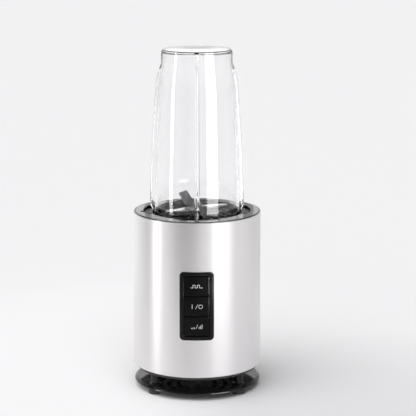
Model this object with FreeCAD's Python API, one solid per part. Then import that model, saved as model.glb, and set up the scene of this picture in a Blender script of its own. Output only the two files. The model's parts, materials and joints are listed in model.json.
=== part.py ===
import FreeCAD
import Part
import math
import os

# A countertop personal blender: a motor base with a control panel, a blade holder that drops into the
# well of the base and twists to lock, and an inverted clear cup screwed into that holder.
# Millimetres. +Z is up, z = 0 is the surface it stands on, and the motor's axis is the Z axis.
# The control panel faces -Y. Angles are in degrees, counter-clockwise from +X seen from above.

# ---- driving dimensions -------------------------------------------------------------------------
HOUSING_TOP = 169.5
HOUSING_BOTTOM = 22.7
HOUSING_R_TOP = 60.0
HOUSING_R_BOTTOM = 60.5
SLEEVE_WALL = 1.2
SLEEVE_LIP_R = 54.5

BASE_PLATE_TOP = 8.7
BASE_PLATE_BOTTOM = 4.6
BASE_PLATE_R = 60.2
COVER_R = 58.0
COVER_BOTTOM = 19.3
POST_CIRCLE_R = 51.6
POST_ANGLE = 40.5
POST_R = 4.0

CHASSIS_R = 58.6
CHASSIS_BORE_R = 56.2
CHASSIS_TOP = 158.0
DECK_TOP = 127.0
DECK_BOTTOM = 124.0
CORD_Z = 34.8

WELL_R = 46.0
POCKET_R = 50.6
POCKET_HALF_ANGLE = 25.0
LEDGE_BOTTOM = HOUSING_TOP - 1.4
CHANNEL_FLOOR = 161.9
LUG_HALF_ANGLE = 22.0
LUG_TOP = LEDGE_BOTTOM - 0.3
INTERLOCK_ANGLE = 40.0
COLLAR_SCREW_R = 50.6
COLLAR_SCREW_ANGLE = 30.0

PANEL_Z = 91.3
PANEL_WIDTH = 31.8
PANEL_HEIGHT = 64.8
PANEL_CORNER = 3.7
BEZEL_RIM = 3.6
PANEL_FRONT_R = 61.3
KEY_GAP = 0.4
KEY_COUNT = 3

SHAFT_R = 3.0
SHAFT_FIT = 0.05
STATOR_BOTTOM = 76.0
STATOR_TOP = 108.0
BOLT_X = 35.0
BOLT_Y = 7.0
DAMPER_CIRCLE_R = 44.0

HOLDER_R = 45.6
HOLDER_BORE_R = 42.0
HOLDER_BOTTOM = 131.0
HOLDER_TOP = 168.6
HOLDER_FLOOR = 141.0
BOSS_TOP = 159.8
BUSH_R = 6.0

BLADE_PLANE = 170.7
BLADE_THICKNESS = 1.5
STUD_R = 2.4
LOWER_BLADE_ANGLE = 30.0
UPPER_BLADE_ANGLE = 132.0

CUP_TOP = 322.0
CUP_MOUTH = 144.0
CUP_MOUTH_R = 40.0
CUP_WALL = 2.3
FIN_WIDTH = 4.4

THREAD_STARTS = 4
THREAD_PITCH = 3.2
THREAD_LEAD = THREAD_STARTS * THREAD_PITCH


# ---- shape helpers ------------------------------------------------------------------------------
def at(radius, angle, z=0.0):
    """The point at a radius and an angle round the axis."""
    return FreeCAD.Vector(radius * math.cos(math.radians(angle)), radius * math.sin(math.radians(angle)), z)


def rod(radius, z0, z1, x=0.0, y=0.0):
    """An upright cylinder."""
    return Part.makeCylinder(radius, z1 - z0, FreeCAD.Vector(x, y, z0))


def tube(inner, outer, z0, z1, x=0.0, y=0.0):
    """An upright tube."""
    return rod(outer, z0, z1, x, y).cut(rod(inner, z0 - 1, z1 + 1, x, y))


def y_rod(radius, y0, y1, x, z):
    """A cylinder along +Y."""
    return Part.makeCylinder(radius, y1 - y0, FreeCAD.Vector(x, y0, z), FreeCAD.Vector(0, 1, 0))


def block(x0, x1, y0, y1, z0, z1):
    """A box between two corners."""
    return Part.makeBox(x1 - x0, y1 - y0, z1 - z0, FreeCAD.Vector(x0, y0, z0))


def turned(shape, angle):
    """A copy turned about the Z axis."""
    copy = shape.copy()
    copy.rotate(FreeCAD.Vector(0, 0, 0), FreeCAD.Vector(0, 0, 1), angle)
    return copy


def around(shape, count, first=0.0):
    """Copies spaced evenly round the Z axis."""
    return [turned(shape, first + i * 360.0 / count) for i in range(count)]


def at_posts(shape):
    """A shape made on the axis, copied to each post of the stand."""
    moved = shape.copy()
    moved.translate(FreeCAD.Vector(POST_CIRCLE_R, 0, 0))
    return [turned(moved, a) for a in (POST_ANGLE, 180 - POST_ANGLE, 180 + POST_ANGLE, -POST_ANGLE)]


def joined(shapes):
    """One solid from several that touch or overlap."""
    return shapes[0].multiFuse(shapes[1:]).removeSplitter()


def outline(points):
    """A closed wire through points; a point marked "via" is the middle of an arc between its neighbours."""
    edges = []
    start = FreeCAD.Vector(*points[0][:3])
    middle = None
    for point in list(points[1:]) + [points[0]]:
        here = FreeCAD.Vector(*point[:3])
        if point[3:] == ("via",):
            middle = here
            continue
        if middle is None:
            edges.append(Part.LineSegment(start, here).toShape())
        else:
            edges.append(Part.Arc(start, middle, here).toShape())
        start, middle = here, None
    return Part.Wire(edges)


def lathe(profile, angle=360.0):
    """A profile of (radius, height) points, some marked "via", turned about the Z axis."""
    points = [(p[0], 0.0, p[1]) + tuple(p[2:]) for p in profile]
    face = Part.Face(outline(points))
    return face.revolve(FreeCAD.Vector(0, 0, 0), FreeCAD.Vector(0, 0, 1), angle)


def sector(inner, outer, z0, z1, middle, half_angle):
    """A piece of a flat ring between two angles."""
    piece = lathe([(inner, z0), (outer, z0), (outer, z1), (inner, z1)], 2 * half_angle)
    return turned(piece, middle - half_angle)


def panel_slab(width, height, corner, z_middle):
    """An upright rounded rectangle, seen from the front, extruded through the front wall."""
    slab = block(-width / 2, width / 2, -80, -30, z_middle - height / 2, z_middle + height / 2)
    long_edges = [e for e in slab.Edges if abs(e.Vertexes[0].Y - e.Vertexes[1].Y) > 1]
    return slab.makeFillet(corner, long_edges)


def curved_panel(inner, outer, width, height, corner, z_middle):
    """A rounded rectangle of the cylindrical front wall, between two radii."""
    z0 = z_middle - height / 2 - 1
    z1 = z_middle + height / 2 + 1
    return tube(inner, outer, z0, z1).common(panel_slab(width, height, corner, z_middle))


def swept(path, profile):
    """A closed profile swept along a helix."""
    return Part.Wire(path.Edges).makePipeShell([profile], True, True)


def coil_spring(radius, wire, z0, z1, turns):
    """A round-wire compression spring standing on the Z axis."""
    low = z0 + wire
    helix = Part.makeHelix((z1 - z0 - 2 * wire) / turns, z1 - z0 - 2 * wire, radius)
    circle = Part.Wire(Part.makeCircle(wire, FreeCAD.Vector(radius, 0, 0), FreeCAD.Vector(0, 1, 0)))
    spring = swept(helix, circle)
    spring.translate(FreeCAD.Vector(0, 0, low))
    return spring


def thread_ridges(root, crest, z0, z1, phase):
    """The ridges of the multi-start right-hand thread, root sunk into the wall that carries them."""
    outward = 1.0 if crest > root else -1.0
    sunk = root - 0.5 * outward
    helix = Part.makeHelix(THREAD_LEAD, z1 - z0, root)
    corners = [
        (sunk, 0, -0.85), (root, 0, -0.75), (crest, 0, -0.4),
        (crest, 0, 0.4), (root, 0, 0.75), (sunk, 0, 0.85),
    ]
    ridge = swept(helix, outline(corners))
    ridge.translate(FreeCAD.Vector(0, 0, z0))
    first = 360.0 * (z0 - phase) / THREAD_LEAD
    return around(ridge, THREAD_STARTS, first)


def screw(head_r, head_z0, head_z1, shank_r, shank_z0, shank_z1):
    """An upright cross-head screw on the Z axis; the recess is in the head's free face."""
    head = rod(head_r, head_z0, head_z1)
    shank = rod(shank_r, shank_z0, shank_z1)
    face_z = head_z0 if shank_z1 > head_z1 else head_z1
    depth = 0.45 * (head_z1 - head_z0)
    arm = block(-0.6 * head_r, 0.6 * head_r, -0.35, 0.35, face_z - depth, face_z + depth)
    return joined([head, shank]).cut([arm, turned(arm, 90)])


def save(node, shapes):
    """Writes one node: a single solid, or a group of separate ones."""
    shape = Part.makeCompound(shapes) if isinstance(shapes, list) else shapes
    os.makedirs("parts", exist_ok=True)
    shape.exportStep("parts/" + node + ".step")
    print(node, len(shape.Solids), "solids", round(shape.Volume), "mm3", shape.isValid())


# ---- the stand ----------------------------------------------------------------------------------
def rubber_feet():
    return at_posts(lathe([
        (0, 0.8), (3.9, 0.8), (4.3, 0), (6.3, 0), (6.5, 3.4), (6.0, 4.5), (5.5, 4.5), (5.5, 5.8), (0, 5.8),
    ]))


def base_plate():
    disc = lathe([
        (0, BASE_PLATE_BOTTOM), (58.2, BASE_PLATE_BOTTOM), (59.65, 5.15, "via"), (BASE_PLATE_R, 6.5),
        (59.3, 7.9, "via"), (57.2, BASE_PLATE_TOP), (0, BASE_PLATE_TOP),
    ])
    holes = lathe([(0, 0), (5.6, 0), (5.6, 5.9), (3.6, 5.9), (3.6, 7.4), (1.8, 7.4), (1.8, 10), (0, 10)])
    return disc.cut(at_posts(holes))


def base_posts():
    return at_posts(lathe([
        (1.8, BASE_PLATE_TOP), (5.2, BASE_PLATE_TOP), (5.2, 9.6), (POST_R, 10.4),
        (POST_R, COVER_BOTTOM), (1.8, COVER_BOTTOM),
    ]))


def base_screws():
    return at_posts(screw(3.4, 5.95, 7.4, 1.65, 7.4, 37.0))


def bottom_cover():
    spigot_r = SLEEVE_LIP_R - 0.3
    disc = lathe([
        (0, COVER_BOTTOM), (COVER_R - 0.8, COVER_BOTTOM), (COVER_R, COVER_BOTTOM + 0.8),
        (COVER_R, HOUSING_BOTTOM), (spigot_r, HOUSING_BOTTOM), (spigot_r, 24.2), (0, 24.2),
    ])
    steady_peg = rod(2.1, BASE_PLATE_TOP + 0.3, COVER_BOTTOM + 1, 0, -31.75)
    vents = []
    for radius in (16.0, 25.0, 34.0):
        vents += around(sector(radius, radius + 4.5, 15, 30, 0, 12.0), 12)
    return joined([disc, steady_peg]).cut(at_posts(rod(1.9, 15, 30)) + vents)


# ---- the housing --------------------------------------------------------------------------------
def housing_sleeve():
    top_in = HOUSING_R_TOP - SLEEVE_WALL
    bottom_in = HOUSING_R_BOTTOM - SLEEVE_WALL
    wall = lathe([
        (SLEEVE_LIP_R, HOUSING_BOTTOM), (HOUSING_R_BOTTOM - 0.6, HOUSING_BOTTOM),
        (HOUSING_R_BOTTOM - 0.18, HOUSING_BOTTOM + 0.18, "via"), (HOUSING_R_BOTTOM, HOUSING_BOTTOM + 0.6),
        (HOUSING_R_TOP, HOUSING_TOP - 0.5), (HOUSING_R_TOP - 0.15, HOUSING_TOP - 0.15, "via"),
        (HOUSING_R_TOP - 0.5, HOUSING_TOP), (top_in, HOUSING_TOP), (bottom_in, 24.2), (SLEEVE_LIP_R, 24.2),
    ])
    window = panel_slab(PANEL_WIDTH - 4, PANEL_HEIGHT - 4, 3.0, PANEL_Z)
    return wall.cut([window, y_rod(6.2, 40, 70, 0, CORD_Z)])


def board_rails():
    """Two upright rails behind the front window, which carry the control board."""
    rails = []
    for side in (-1, 1):
        face = block(13.5, 20.0, -47.9, -44.0, 54.0, DECK_BOTTOM)
        web = block(17.4, 20.0, -54.0, -44.0, 54.0, DECK_BOTTOM)
        rail = joined([face, web])
        rails.append(rail if side > 0 else rail.mirror(FreeCAD.Vector(0, 0, 0), FreeCAD.Vector(1, 0, 0)))
    return rails


def inner_chassis():
    shell = lathe([
        (50.0, 24.2), (CHASSIS_R, 24.2), (CHASSIS_R, CHASSIS_TOP), (CHASSIS_BORE_R, CHASSIS_TOP),
        (CHASSIS_BORE_R, DECK_TOP), (12.0, DECK_TOP), (12.0, DECK_BOTTOM), (CHASSIS_BORE_R, DECK_BOTTOM),
        (CHASSIS_BORE_R, 27.0), (50.0, 27.0),
    ])
    damper_bosses = around(rod(6.5, 121.0, DECK_BOTTOM + 1, DAMPER_CIRCLE_R), 4, 45)
    screw_bosses = at_posts(rod(5.0, 24.2, 40.0))
    body = joined([shell] + damper_bosses + screw_bosses + board_rails())
    window = block(-15.6, 15.6, -70, -50, 58.6, 123.5)
    pilots = at_posts(rod(1.7, 23, 38))
    pilots += around(rod(2.0, 120, 125.8, DAMPER_CIRCLE_R), 4, 45)
    pilots += around(rod(2.1, 120, 130, COLLAR_SCREW_R), 4, COLLAR_SCREW_ANGLE)
    pilots += [y_rod(0.9, -50, -45, x, z) for x in (-15.4, 15.4) for z in (58.5, 120.9)]
    return body.cut([window, y_rod(6.2, 40, 70, 0, CORD_Z)] + pilots)


def air_baffle():
    plate = lathe([(29.0, 36.0), (30.5, 36.0), (30.5, 40.0), (55.8, 40.0), (55.8, 42.0), (29.0, 42.0)])
    return plate.cut(block(-9, 9, 48, 60, 35, 45))


def cord_grommet():
    profile = [
        (3.4, 50.0), (7.6, 50.0), (7.6, 55.0), (5.9, 55.9), (5.9, 60.6), (8.2, 60.6), (8.2, 61.6),
        (7.2, 62.3), (3.4, 62.3),
    ]
    body = lathe(profile)
    body.rotate(FreeCAD.Vector(0, 0, 0), FreeCAD.Vector(1, 0, 0), -90)
    body.translate(FreeCAD.Vector(0, 0, CORD_Z))
    return body


# ---- the collar and its well --------------------------------------------------------------------
def interlock_shelf():
    """The small shelf outside the well wall that carries the interlock spring and its switch."""
    shelf = block(47.0, 55.4, -4.0, 14.5, 142.0, 145.0)
    return turned(shelf.common(rod(55.6, 140, 150)), INTERLOCK_ANGLE)


def collar_ring():
    top = HOUSING_TOP + 0.4
    skirt_in = 56.6
    skirt_out = 58.4
    body = lathe([
        (WELL_R, DECK_TOP), (52.0, DECK_TOP), (52.0, 129.5), (47.6, 129.5), (47.6, 158.9), (53.0, 158.9),
        (53.0, LEDGE_BOTTOM), (skirt_in, LEDGE_BOTTOM), (skirt_in, 158.2), (skirt_out, 158.2),
        (skirt_out, top - 0.8), (skirt_out - 0.23, top - 0.23, "via"), (skirt_out - 0.8, top),
        (WELL_R + 0.6, top), (WELL_R + 0.18, top - 0.18, "via"), (WELL_R, top - 0.6),
        (WELL_R, LEDGE_BOTTOM), (POCKET_R, LEDGE_BOTTOM), (POCKET_R, CHANNEL_FLOOR), (WELL_R, CHANNEL_FLOOR),
    ])
    bosses = around(rod(3.2, 129.0, 140.0, COLLAR_SCREW_R), 4, COLLAR_SCREW_ANGLE)
    body = joined([body, interlock_shelf()] + bosses)
    pockets = [
        sector(WELL_R - 2, POCKET_R, LEDGE_BOTTOM - 1, 180, a, POCKET_HALF_ANGLE) for a in (0, 90, 180, 270)
    ]
    pilots = around(rod(1.5, 126, 137, COLLAR_SCREW_R), 4, COLLAR_SCREW_ANGLE)
    pin_hole = turned(rod(1.38, 155, 165, 49.2), INTERLOCK_ANGLE)
    drain_slot = sector(POCKET_R - 1, 53.4, 160.5, 180, 189.0, 2.6)
    return body.cut(pockets + pilots + [pin_hole, drain_slot])


def collar_screws():
    one = screw(3.0, 122.0, DECK_BOTTOM, 1.45, DECK_BOTTOM, 135.0)
    one.translate(FreeCAD.Vector(COLLAR_SCREW_R, 0, 0))
    return around(one, 4, COLLAR_SCREW_ANGLE)


def well_seal():
    return lathe([
        (SHAFT_R + 0.08, 125.5), (11.9, 125.5), (11.9, DECK_TOP), (14.5, DECK_TOP), (14.5, 128.0),
        (6.0, 128.8), (SHAFT_R + 0.08, 128.8),
    ])


def interlock_plunger():
    pin = rod(1.3, 158.0, 164.1, 49.2)
    shoe = block(48.0, 55.0, -2.2, 9.0, 155.7, 158.7).common(rod(55.4, 150, 160))
    return turned(joined([pin, shoe]), INTERLOCK_ANGLE)


def interlock_spring():
    spring = coil_spring(1.9, 0.25, 145.0, 155.6, 6)
    spring.translate(FreeCAD.Vector(52.0, 0, 0))
    return turned(spring, INTERLOCK_ANGLE)


def microswitch():
    body = block(48.2, 52.8, 3.4, 13.8, 145.0, 151.6)
    button = rod(0.8, 151.0, 152.8, 50.5, 6.0)
    return turned(joined([body, button]), INTERLOCK_ANGLE)


# ---- the control panel --------------------------------------------------------------------------
def opening_slab(margin=0.0):
    width = PANEL_WIDTH - 2 * BEZEL_RIM - 2 * margin
    height = PANEL_HEIGHT - 2 * BEZEL_RIM - 2 * margin
    return panel_slab(width, height, 2.2, PANEL_Z)


def control_bezel():
    flange = curved_panel(60.5, 61.0, PANEL_WIDTH, PANEL_HEIGHT, PANEL_CORNER, PANEL_Z)
    crown = curved_panel(
        60.9, PANEL_FRONT_R, PANEL_WIDTH - 0.7, PANEL_HEIGHT - 0.7, PANEL_CORNER - 0.3, PANEL_Z
    )
    neck = curved_panel(57.2, 60.6, PANEL_WIDTH - 4.4, PANEL_HEIGHT - 4.4, 2.8, PANEL_Z)
    return joined([flange, crown, neck]).cut(opening_slab())


def key_heights():
    """The height of one key and the middle of each, from the top one down."""
    room = PANEL_HEIGHT - 2 * BEZEL_RIM - (KEY_COUNT + 1) * KEY_GAP
    height = room / KEY_COUNT
    middles = [PANEL_Z + (1 - i) * (height + KEY_GAP) for i in range(KEY_COUNT)]
    return height, middles


def control_key(index):
    """One panel key: a curved cap, a flange behind the bezel and a stem that meets its switch."""
    height, middles = key_heights()
    z = middles[index]
    width = PANEL_WIDTH - 2 * BEZEL_RIM - 2 * KEY_GAP
    cap = curved_panel(56.8, PANEL_FRONT_R - 0.4, width, height, 0.9, z)
    flange = curved_panel(55.6, 57.0, PANEL_WIDTH - 3.6, height - 1.6, 0.9, z)
    stem = y_rod(2.0, -56.2, -54.4, 0, z)
    key = joined([cap, flange, stem])
    return key.common(opening_slab(0.3).fuse(block(-20, 20, -57.1, -40, 50, 130)))


def control_board():
    board = block(-17.0, 17.0, -49.5, -47.9, 56.0, 123.0)
    capacitor = block(-11.0, -2.0, -48.0, -38.5, 60.0, 74.0)
    relay = block(3.0, 12.0, -48.0, -39.5, 62.0, 73.0)
    chip = block(-4.0, 4.0, -48.0, -46.5, 84.0, 95.0)
    holes = [y_rod(1.0, -55, -45, x, z) for x in (-15.4, 15.4) for z in (58.5, 120.9)]
    return joined([board, capacitor, relay, chip]).cut(holes)


def board_screws():
    screws = []
    for x in (-15.4, 15.4):
        for z in (58.5, 120.9):
            screws.append(joined([y_rod(1.8, -50.7, -49.5, x, z), y_rod(0.85, -49.6, -45.4, x, z)]))
    return screws


def tact_switches():
    switches = []
    for z in key_heights()[1]:
        body = block(-3.0, 3.0, -52.7, -49.5, z - 3.0, z + 3.0)
        switches.append(joined([body, y_rod(1.7, -53.3, -52.6, 0, z)]))
    return switches


# ---- the motor: fixed parts ---------------------------------------------------------------------
def bolt_holes(radius):
    return [rod(radius, 40, 125, x, y) for x in (-BOLT_X, BOLT_X) for y in (-BOLT_Y, BOLT_Y)]


def stator_core():
    stack = block(-40, 40, -31, 31, STATOR_BOTTOM, STATOR_TOP)
    upright = [e for e in stack.Edges if abs(e.Vertexes[0].Z - e.Vertexes[1].Z) > 1]
    stack = stack.makeFillet(10.0, upright)
    windows = []
    for sx in (-1, 1):
        for sy in (-1, 1):
            xs = sorted((14 * sx, 27 * sx))
            ys = sorted((8 * sy, 21 * sy))
            window = block(xs[0], xs[1], ys[0], ys[1], STATOR_BOTTOM - 1, STATOR_TOP + 1)
            windows.append(window.cut(rod(21.5, STATOR_BOTTOM - 2, STATOR_TOP + 2)))
    bore = rod(18.3, STATOR_BOTTOM - 1, STATOR_TOP + 1)
    return stack.cut(windows + [bore] + bolt_holes(1.9))


def field_coils():
    coils = []
    for side in (0, 180):
        legs = [block(-26, -15, 9, 20, 75, 109), block(15, 26, 9, 20, 75, 109)]
        ends = [block(-26, 26, 9, 29.5, 70.2, STATOR_BOTTOM), block(-26, 26, 9, 29.5, STATOR_TOP, 113.8)]
        coil = joined(legs + ends).cut(rod(22.2, 60, 120))
        coils.append(turned(coil, side))
    return coils


def lower_bracket():
    plate = block(-39, 39, -11, 11, 54, 57)
    brush_arm = block(-9, 9, -34, 34, 54, 57)
    hub = rod(12.0, 46.0, 55.0)
    legs = [block(-39, -31, -11, 11, 56, STATOR_BOTTOM), block(31, 39, -11, 11, 56, STATOR_BOTTOM)]
    cuts = [rod(9.5, 45, 53.5), rod(7.0, 50, 60)] + bolt_holes(1.8)
    return joined([plate, brush_arm, hub] + legs).cut(cuts)


def upper_bracket():
    plate = block(-39, 39, -11, 11, 115, 118)
    arms = around(block(0, 50, -7, 7, 115, 118), 4, 45)
    hub = rod(12.0, 111.5, 119.5)
    legs = [block(-39, -31, -11, 11, STATOR_TOP, 116), block(31, 39, -11, 11, STATOR_TOP, 116)]
    cuts = [rod(9.5, 110, 118.0), rod(6.0, 110, 125)] + bolt_holes(1.9)
    cuts += around(rod(2.2, 110, 125, DAMPER_CIRCLE_R), 4, 45)
    return joined([plate, hub] + arms + legs).cut(cuts)


def ball_bearing(z0):
    """A small ball bearing: outer ring, inner ring and seven balls."""
    bore = SHAFT_R + SHAFT_FIT
    outer = tube(7.2, 9.5, z0, z0 + 6)
    inner = tube(bore, 5.0, z0, z0 + 6)
    balls = [Part.makeSphere(1.05, at(6.1, i * 360.0 / 7, z0 + 3)) for i in range(7)]
    return [outer, inner] + balls


def bracket_bolts():
    one = screw(3.1, 118.0, 120.4, 1.75, 54.5, 118.0)
    bolts = []
    for x in (-BOLT_X, BOLT_X):
        for y in (-BOLT_Y, BOLT_Y):
            bolt = one.copy()
            bolt.translate(FreeCAD.Vector(x, y, 0))
            bolts.append(bolt)
    return bolts


def motor_dampers():
    damper = tube(2.4, 6.2, 118.0, 121.0, DAMPER_CIRCLE_R)
    return around(damper, 4, 45)


def damper_screws():
    one = screw(3.6, 112.6, 115.0, 1.9, 115.0, 125.6)
    one.translate(FreeCAD.Vector(DAMPER_CIRCLE_R, 0, 0))
    return around(one, 4, 45)


def brush_holders():
    box = block(-5.2, 5.2, 13.0, 34.0, 57.0, 69.4)
    slot = block(-3.3, 3.3, 12.0, 33.0, 60.7, 67.3)
    return around(box.cut(slot), 2)


def carbon_brushes():
    return around(block(-3.2, 3.2, 11.4, 26.5, 60.8, 67.2), 2)


def brush_springs():
    spring = coil_spring(2.2, 0.3, 0.0, 6.3, 5)
    spring.rotate(FreeCAD.Vector(0, 0, 0), FreeCAD.Vector(1, 0, 0), -90)
    spring.translate(FreeCAD.Vector(0, 26.6, 64.0))
    return around(spring, 2)


# ---- the motor: turning parts -------------------------------------------------------------------
def motor_shaft():
    return joined([rod(SHAFT_R, 30.0, 129.5), rod(2.5, 129.0, 138.2)])


def armature_core():
    core = tube(SHAFT_R, 17.6, 78.0, 106.0)
    slots = around(block(8.0, 16.2, -1.5, 1.5, 77, 107), 12)
    mouths = around(block(15.0, 19.0, -0.7, 0.7, 77, 107), 12)
    return core.cut(slots + mouths)


def armature_windings():
    low = lathe([(5.0, 73.2), (13.0, 73.2), (15.8, 74.6, "via"), (16.2, 78.0), (5.0, 78.0)])
    high = lathe([(5.0, 106.0), (16.2, 106.0), (15.6, 109.6, "via"), (12.5, 111.0), (5.0, 111.0)])
    bars = around(block(8.4, 16.0, -1.3, 1.3, 77.5, 106.5), 12)
    return joined([low, high] + bars)


def commutator():
    body = lathe([
        (SHAFT_R, 57.5), (11.0, 57.5), (11.0, 70.0), (12.4, 70.4), (12.4, 72.6), (SHAFT_R, 72.6),
    ])
    gaps = around(block(10.3, 14.0, -0.2, 0.2, 57, 73), 22)
    return body.cut(gaps)


def cooling_fan():
    hub = tube(SHAFT_R, 6.5, 33.0, 43.0)
    disc = tube(SHAFT_R, 27.0, 41.0, 42.4)
    blades = around(block(6.0, 26.6, -0.7, 0.7, 33.4, 41.5), 9)
    return joined([hub, disc] + blades)


def drive_coupling():
    disc = rod(13.0, 129.5, 132.5)
    hub = rod(5.6, 132.0, 138.2)
    teeth = [sector(5.0, 12.4, 132.0, 138.2, a, 10.5) for a in range(0, 360, 60)]
    return joined([disc, hub] + teeth).cut(rod(2.5, 128, 140))


# ---- the blade holder and what turns in it ------------------------------------------------------
def blade_holder():
    body = lathe([
        (HOLDER_R, HOLDER_BOTTOM), (HOLDER_R, HOLDER_TOP - 0.6), (HOLDER_R - 0.6, HOLDER_TOP),
        (HOLDER_BORE_R + 0.6, HOLDER_TOP), (HOLDER_BORE_R, HOLDER_TOP - 0.6), (HOLDER_BORE_R, HOLDER_FLOOR),
        (20.5, HOLDER_FLOOR), (16.9, 148.2), (15.3, 149.3, "via"), (10.8, 149.6), (9.6, BOSS_TOP),
        (BUSH_R + SHAFT_FIT, BOSS_TOP), (BUSH_R + SHAFT_FIT, 145.5), (15.5, 145.5), (15.5, 137.5),
        (42.6, 137.5), (42.6, HOLDER_BOTTOM),
    ])
    lugs = [
        sector(HOLDER_R - 1, POCKET_R - 0.4, 162.2, LUG_TOP, a, LUG_HALF_ANGLE) for a in (0, 90, 180, 270)
    ]
    flutes = around(rod(1.2, HOLDER_BOTTOM - 1, 158.0, HOLDER_R + 0.6), 24, 7.5)
    # the turned body's seam stays between two lugs
    body = joined([turned(body, 45)] + lugs).cut(flutes)
    ridges = thread_ridges(HOLDER_BORE_R, 40.5, 152.0, 164.0, THREAD_PITCH / 2)
    return body.multiFuse(ridges)


def bearing_bush():
    return lathe([
        (SHAFT_R + SHAFT_FIT, 142.7), (BUSH_R, 142.7), (BUSH_R, 144.3), (5.3, 144.3), (5.3, 145.2),
        (BUSH_R, 145.2), (BUSH_R, 160.0), (8.6, 160.0), (8.6, 162.0), (SHAFT_R + SHAFT_FIT, 162.0),
    ])


def bush_circlip():
    return sector(5.3, 8.4, 144.3, 145.15, 180, 150)


def driven_coupling():
    disc = rod(13.0, 139.0, 142.0)
    teeth = [sector(6.2, 12.4, 133.1, 139.5, a, 14.0) for a in range(30, 390, 60)]
    return joined([disc] + teeth).cut(rod(SHAFT_R, 138, 143))


def thrust_washer():
    return tube(SHAFT_R, 5.6, 142.0, 142.4)


def blade_shaft():
    shoulder = BLADE_PLANE + BLADE_THICKNESS
    return joined([rod(SHAFT_R, 139.2, shoulder), rod(STUD_R, shoulder - 1, 176.6)])


def shaft_seal():
    return lathe([(SHAFT_R, 162.5), (8.2, 162.5), (8.2, 163.1), (5.4, 165.6), (SHAFT_R, 165.6)])


def blade_spacer():
    return tube(SHAFT_R, 5.2, 165.6, BLADE_PLANE)


def lower_blade():
    """The flat cutting blade: two leaf-shaped arms that narrow to a point."""
    z = BLADE_PLANE
    arm = [
        (0, -6.4, z), (13.0, -5.6, z), (33.0, -1.0, z), (33.4, 0.4, z, "via"),
        (32.6, 1.4, z), (20.0, 5.4, z), (0, 6.4, z),
    ]
    plate = Part.Face(outline(arm)).extrude(FreeCAD.Vector(0, 0, BLADE_THICKNESS))
    blade = joined([plate, turned(plate, 180)]).cut(rod(SHAFT_R, 160, 180))
    return turned(blade, LOWER_BLADE_ANGLE)


def bent_arm(bend, reach, rise):
    """One arm of the upper blade along +X: flat by the hub, then bent up or down, narrowing to a cut end."""
    t = BLADE_THICKNESS
    z = BLADE_PLANE + BLADE_THICKNESS
    slope = math.atan2(rise, reach - bend)
    shift = t * math.tan(slope / 2)
    tip = FreeCAD.Vector(t * -math.sin(slope), 0, t * math.cos(slope))
    low_end = FreeCAD.Vector(reach, 0, z + rise)
    high_end = low_end + tip
    side = [
        (0, -6.4, z), (bend, -6.4, z), (low_end.x, -6.4, low_end.z), (high_end.x, -6.4, high_end.z),
        (bend - shift, -6.4, z + t), (0, -6.4, z + t),
    ]
    strip = Part.Face(outline(side)).extrude(FreeCAD.Vector(0, 12.8, 0))
    end = reach + 1.2
    plan = [
        (0, -6.4, 0), (end - 0.3, -5.1, 0), (end - 1.3, 3.6, 0), (end - 1.8, 4.8, 0, "via"),
        (end - 3.0, 5.4, 0), (0, 6.4, 0),
    ]
    trim = Part.Face(outline(plan)).extrude(FreeCAD.Vector(0, 0, 400))
    return strip.common(trim)


def upper_blade():
    """The second blade, across the first: one arm bent up and one bent down."""
    z = BLADE_PLANE + BLADE_THICKNESS
    hub = rod(6.6, z, z + BLADE_THICKNESS)
    up = bent_arm(9.5, 22.2, 12.4)
    down = turned(bent_arm(8.5, 14.4, -9.6), 180)
    blade = joined([hub, up, down]).cut(rod(STUD_R, 160, 180))
    return turned(blade, UPPER_BLADE_ANGLE)


def blade_nut():
    z0 = BLADE_PLANE + 2 * BLADE_THICKNESS
    corners = [at(4.4, a, z0) for a in range(0, 360, 60)]
    hexagon = Part.Face(outline([(c.x, c.y, c.z) for c in corners]))
    flange = rod(4.8, z0, z0 + 0.5)
    return joined([hexagon.extrude(FreeCAD.Vector(0, 0, 2.4)), flange]).cut(rod(STUD_R, 170, 180))


# ---- the cup ------------------------------------------------------------------------------------
def cup_gasket():
    return tube(37.2, 40.2, HOLDER_FLOOR + 0.2, CUP_MOUTH - 0.2)


def cup_profile(inset):
    """The cup's outer line from the mouth to the top, as (radius, height) points, moved in by inset."""
    return [
        (CUP_MOUTH_R - inset, 167.0), (38.7 - inset, 217.5), (36.7 - inset, 274.5),
        (35.15 - inset, 293.5, "via"), (32.6 - inset, 310.0),
    ]


def cup_fin():
    """One upright outer rib, pointed at its lower end and fading into the shoulder."""
    half = FIN_WIDTH / 2
    side = [
        (37.9, -half, 167.0), (CUP_MOUTH_R, -half, 167.0), (43.9, -half, 174.6), (44.15, -half, 176.4, "via"),
        (44.1, -half, 184.0), (43.2, -half, 217.5, "via"), (40.8, -half, 255.5), (38.9, -half, 283.0, "via"),
        (34.2, -half, 307.0), (33.0, -half, 307.0), (35.6, -half, 270.0),
    ]
    fin = Part.Face(outline(side)).extrude(FreeCAD.Vector(0, FIN_WIDTH, 0))
    return fin


def cup():
    outer = [(0, CUP_TOP), (0, CUP_MOUTH), (CUP_MOUTH_R - 0.3, CUP_MOUTH), (CUP_MOUTH_R, CUP_MOUTH + 0.5)]
    outer += cup_profile(0) + [
        (32.2, 313.0, "via"), (32.0, 316.0), (32.0, 320.8), (31.65, 321.65, "via"), (30.8, CUP_TOP),
    ]
    inner = [(0, 319.7), (0, CUP_MOUTH - 1), (CUP_MOUTH_R - CUP_WALL, CUP_MOUTH - 1)]
    inner += cup_profile(CUP_WALL) + [
        (29.9, 312.8, "via"), (29.7, 315.7), (29.7, 317.9), (29.17, 319.17, "via"), (27.9, 319.7),
    ]
    # both turned bodies have their seam between two fins
    body = turned(lathe(outer), 45).multiFuse(around(cup_fin(), 4))
    body = body.cut(turned(lathe(inner), 45)).removeSplitter()
    return body.multiFuse(thread_ridges(CUP_MOUTH_R, 41.4, 147.0, 164.5, 0.0))


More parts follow.
